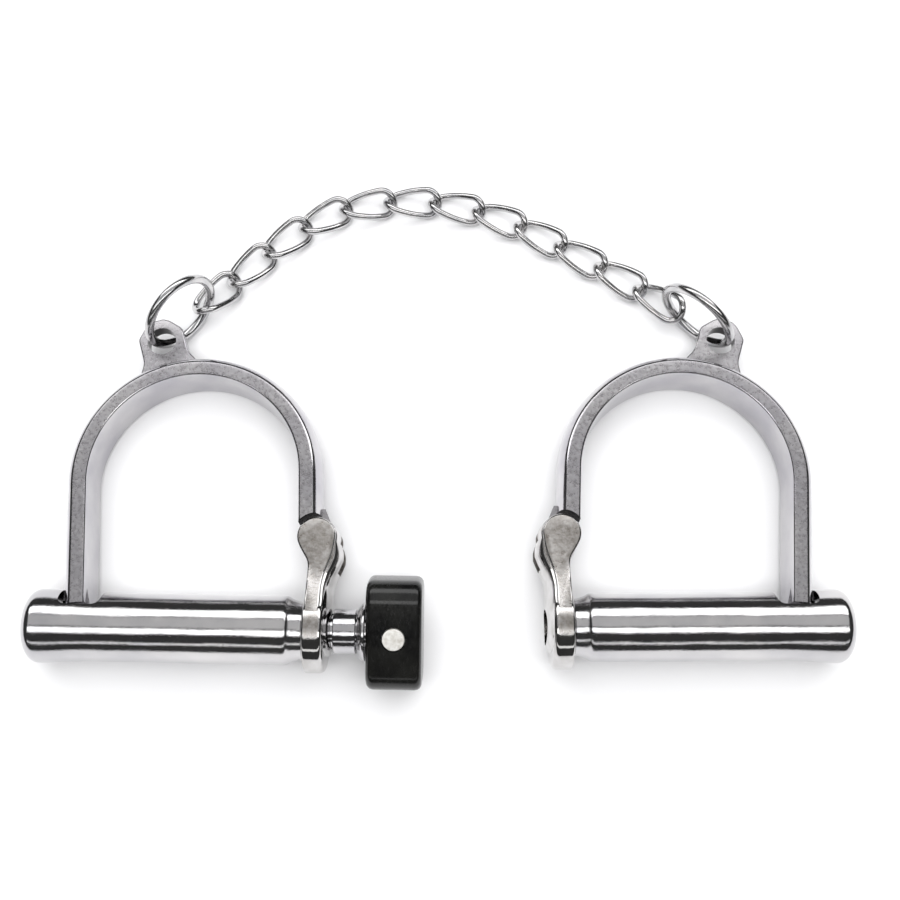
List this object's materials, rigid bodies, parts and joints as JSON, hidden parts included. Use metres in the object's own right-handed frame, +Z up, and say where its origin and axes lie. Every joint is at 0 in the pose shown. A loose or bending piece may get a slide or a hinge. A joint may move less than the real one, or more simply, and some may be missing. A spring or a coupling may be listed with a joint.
{
  "type": "handcuffs",
  "caption": "Screw-key handcuffs: hinged bows close on tubular lock barrels and hang by round rings from a twisted curb chain, with a black-handled key in one lock.",
  "frame": {"origin": "centre of the set's footprint on the surface it lies on", "axes": "+X from the keyed cuff to the other cuff, +Y from the barrels to the chain, +Z up from the surface"},
  "size_m": [0.2006, 0.1368, 0.0228],
  "materials": {
    "chrome": "bright polished nickel-chrome plate",
    "forged_chrome": "plated over a slightly grainy forging",
    "bow_chrome": "bright plate, front edge slightly grainy",
    "pin_steel": "plain steel, ground flush",
    "inner_steel": "plain machined steel",
    "spring_steel": "drawn wire",
    "ring_chrome": "bright plated wire",
    "link_chrome": "bright plated wire",
    "key_chrome": "bright turned and plated",
    "black_handle": "moulded, glossy",
    "pale_pin": "smooth pale disc"
  },
  "bodies": {
    "left_frame": {"left_barrel": "chrome", "left_end_plug": "chrome", "left_hinge_arm": "forged_chrome", "left_hinge_pin": "pin_steel", "left_guide_bush": "inner_steel", "left_bolt_spring": "spring_steel"},
    "left_bow": {"left_bow": "bow_chrome"},
    "left_bolt": {"left_lock_bolt": "inner_steel"},
    "key": {"key_shank": "key_chrome", "key_ferrule": "key_chrome", "key_handle": "black_handle", "key_cross_pin": "pale_pin"},
    "left_ring": {"left_ring": "ring_chrome"},
    "link_01": {"link_01": "link_chrome"},
    "link_02": {"link_02": "link_chrome"},
    "link_03": {"link_03": "link_chrome"},
    "link_04": {"link_04": "link_chrome"},
    "link_05": {"link_05": "link_chrome"},
    "link_06": {"link_06": "link_chrome"},
    "link_07": {"link_07": "link_chrome"},
    "link_08": {"link_08": "link_chrome"},
    "link_09": {"link_09": "link_chrome"},
    "link_10": {"link_10": "link_chrome"},
    "link_11": {"link_11": "link_chrome"},
    "link_12": {"link_12": "link_chrome"},
    "right_ring": {"right_ring": "ring_chrome"},
    "right_bow": {"right_bow": "bow_chrome"},
    "right_frame": {"right_barrel": "chrome", "right_end_plug": "chrome", "right_hinge_arm": "forged_chrome", "right_hinge_pin": "pin_steel", "right_guide_bush": "inner_steel", "right_bolt_spring": "spring_steel"},
    "right_bolt": {"right_lock_bolt": "inner_steel"}
  },
  "joints": [
    {"name": "left_bow_hinge", "type": "hinge", "parent": "left_frame", "child": "left_bow", "pos_m": [-0.02981, -0.03184, 0.00925], "axis": [0.017, -0.0468, -0.9988], "range_deg": [0, 78]},
    {"name": "left_bolt_slide", "type": "slide", "parent": "left_frame", "child": "left_bolt", "axis": [-0.9996, 0.0209, -0.018], "range_m": [0, 0.0034], "deforming": ["left_bolt_spring"]},
    {"name": "key_turn", "type": "hinge", "parent": "left_frame", "child": "key", "pos_m": [-0.0254, -0.05421, 0.01037], "axis": [0.9996, -0.0209, 0.018], "range_deg": [0, 1224]},
    {"name": "left_ring_swing", "type": "hinge", "parent": "left_bow", "child": "left_ring", "pos_m": [-0.07257, 0.02159, 0.00602], "axis": [-0.017, 0.0468, 0.9988], "range_deg": [-15, 35]},
    {"name": "link_01_swing", "type": "hinge", "parent": "left_ring", "child": "link_01", "pos_m": [-0.06411, 0.03095, 0.00589], "axis": [0, 0, 1], "range_deg": [-9, 12]},
    {"name": "link_02_swing", "type": "hinge", "parent": "link_01", "child": "link_02", "pos_m": [-0.05542, 0.04061, 0.00272], "axis": [0, 0, -1], "range_deg": [-20, 9]},
    {"name": "link_03_swing", "type": "hinge", "parent": "link_02", "child": "link_03", "pos_m": [-0.04642, 0.049, 0.00272], "axis": [0, 0, 1], "range_deg": [-9, 20]},
    {"name": "link_04_swing", "type": "hinge", "parent": "link_03", "child": "link_04", "pos_m": [-0.03673, 0.05657, 0.00272], "axis": [0, 0, -1], "range_deg": [-20, 9]},
    {"name": "link_05_swing", "type": "hinge", "parent": "link_04", "child": "link_05", "pos_m": [-0.02577, 0.06216, 0.00272], "axis": [0, 0, 1], "range_deg": [-9, 20]},
    {"name": "link_06_swing", "type": "hinge", "parent": "link_05", "child": "link_06", "pos_m": [-0.01362, 0.06408, 0.00272], "axis": [0, 0, -1], "range_deg": [-20, 9]},
    {"name": "link_07_swing", "type": "hinge", "parent": "link_06", "child": "link_07", "pos_m": [-0.00132, 0.06387, 0.00272], "axis": [0, 0, 1], "range_deg": [-9, 20]},
    {"name": "link_08_swing", "type": "hinge", "parent": "link_07", "child": "link_08", "pos_m": [0.01071, 0.06131, 0.00272], "axis": [0, 0, -1], "range_deg": [-20, 9]},
    {"name": "link_09_swing", "type": "hinge", "parent": "link_08", "child": "link_09", "pos_m": [0.02211, 0.0567, 0.00272], "axis": [0, 0, 1], "range_deg": [-9, 20]},
    {"name": "link_10_swing", "type": "hinge", "parent": "link_09", "child": "link_10", "pos_m": [0.03287, 0.05074, 0.00272], "axis": [0, 0, -1], "range_deg": [-20, 9]},
    {"name": "link_11_swing", "type": "hinge", "parent": "link_10", "child": "link_11", "pos_m": [0.04352, 0.04459, 0.00272], "axis": [0, 0, 1], "range_deg": [-9, 20]},
    {"name": "link_12_swing", "type": "hinge", "parent": "link_11", "child": "link_12", "pos_m": [0.05407, 0.03825, 0.00272], "axis": [0, 0, -1], "range_deg": [-20, 9]},
    {"name": "right_ring_swing", "type": "hinge", "parent": "link_12", "child": "right_ring", "pos_m": [0.06416, 0.03008, 0.00589], "axis": [0, 0, 1], "range_deg": [-12, 12]},
    {"name": "right_lug_swing", "type": "hinge", "parent": "right_ring", "child": "right_bow", "pos_m": [0.07365, 0.02183, 0.00602], "axis": [0.0176, 0.0465, 0.9988], "range_deg": [-30, 30]},
    {"name": "right_bow_hinge", "type": "hinge", "parent": "right_bow", "child": "right_frame", "pos_m": [0.03016, -0.03101, 0.00925], "axis": [-0.0176, -0.0465, -0.9988], "range_deg": [0, 78]},
    {"name": "right_bolt_slide", "type": "slide", "parent": "right_frame", "child": "right_bolt", "axis": [0.9998, 0.007, -0.018], "range_m": [0, 0.0034], "deforming": ["right_bolt_spring"]}
  ],
  "couplings": [
    {"joint": "left_bolt_slide", "follows": "key_turn", "m_per_rad": 0.00015915}
  ]
}
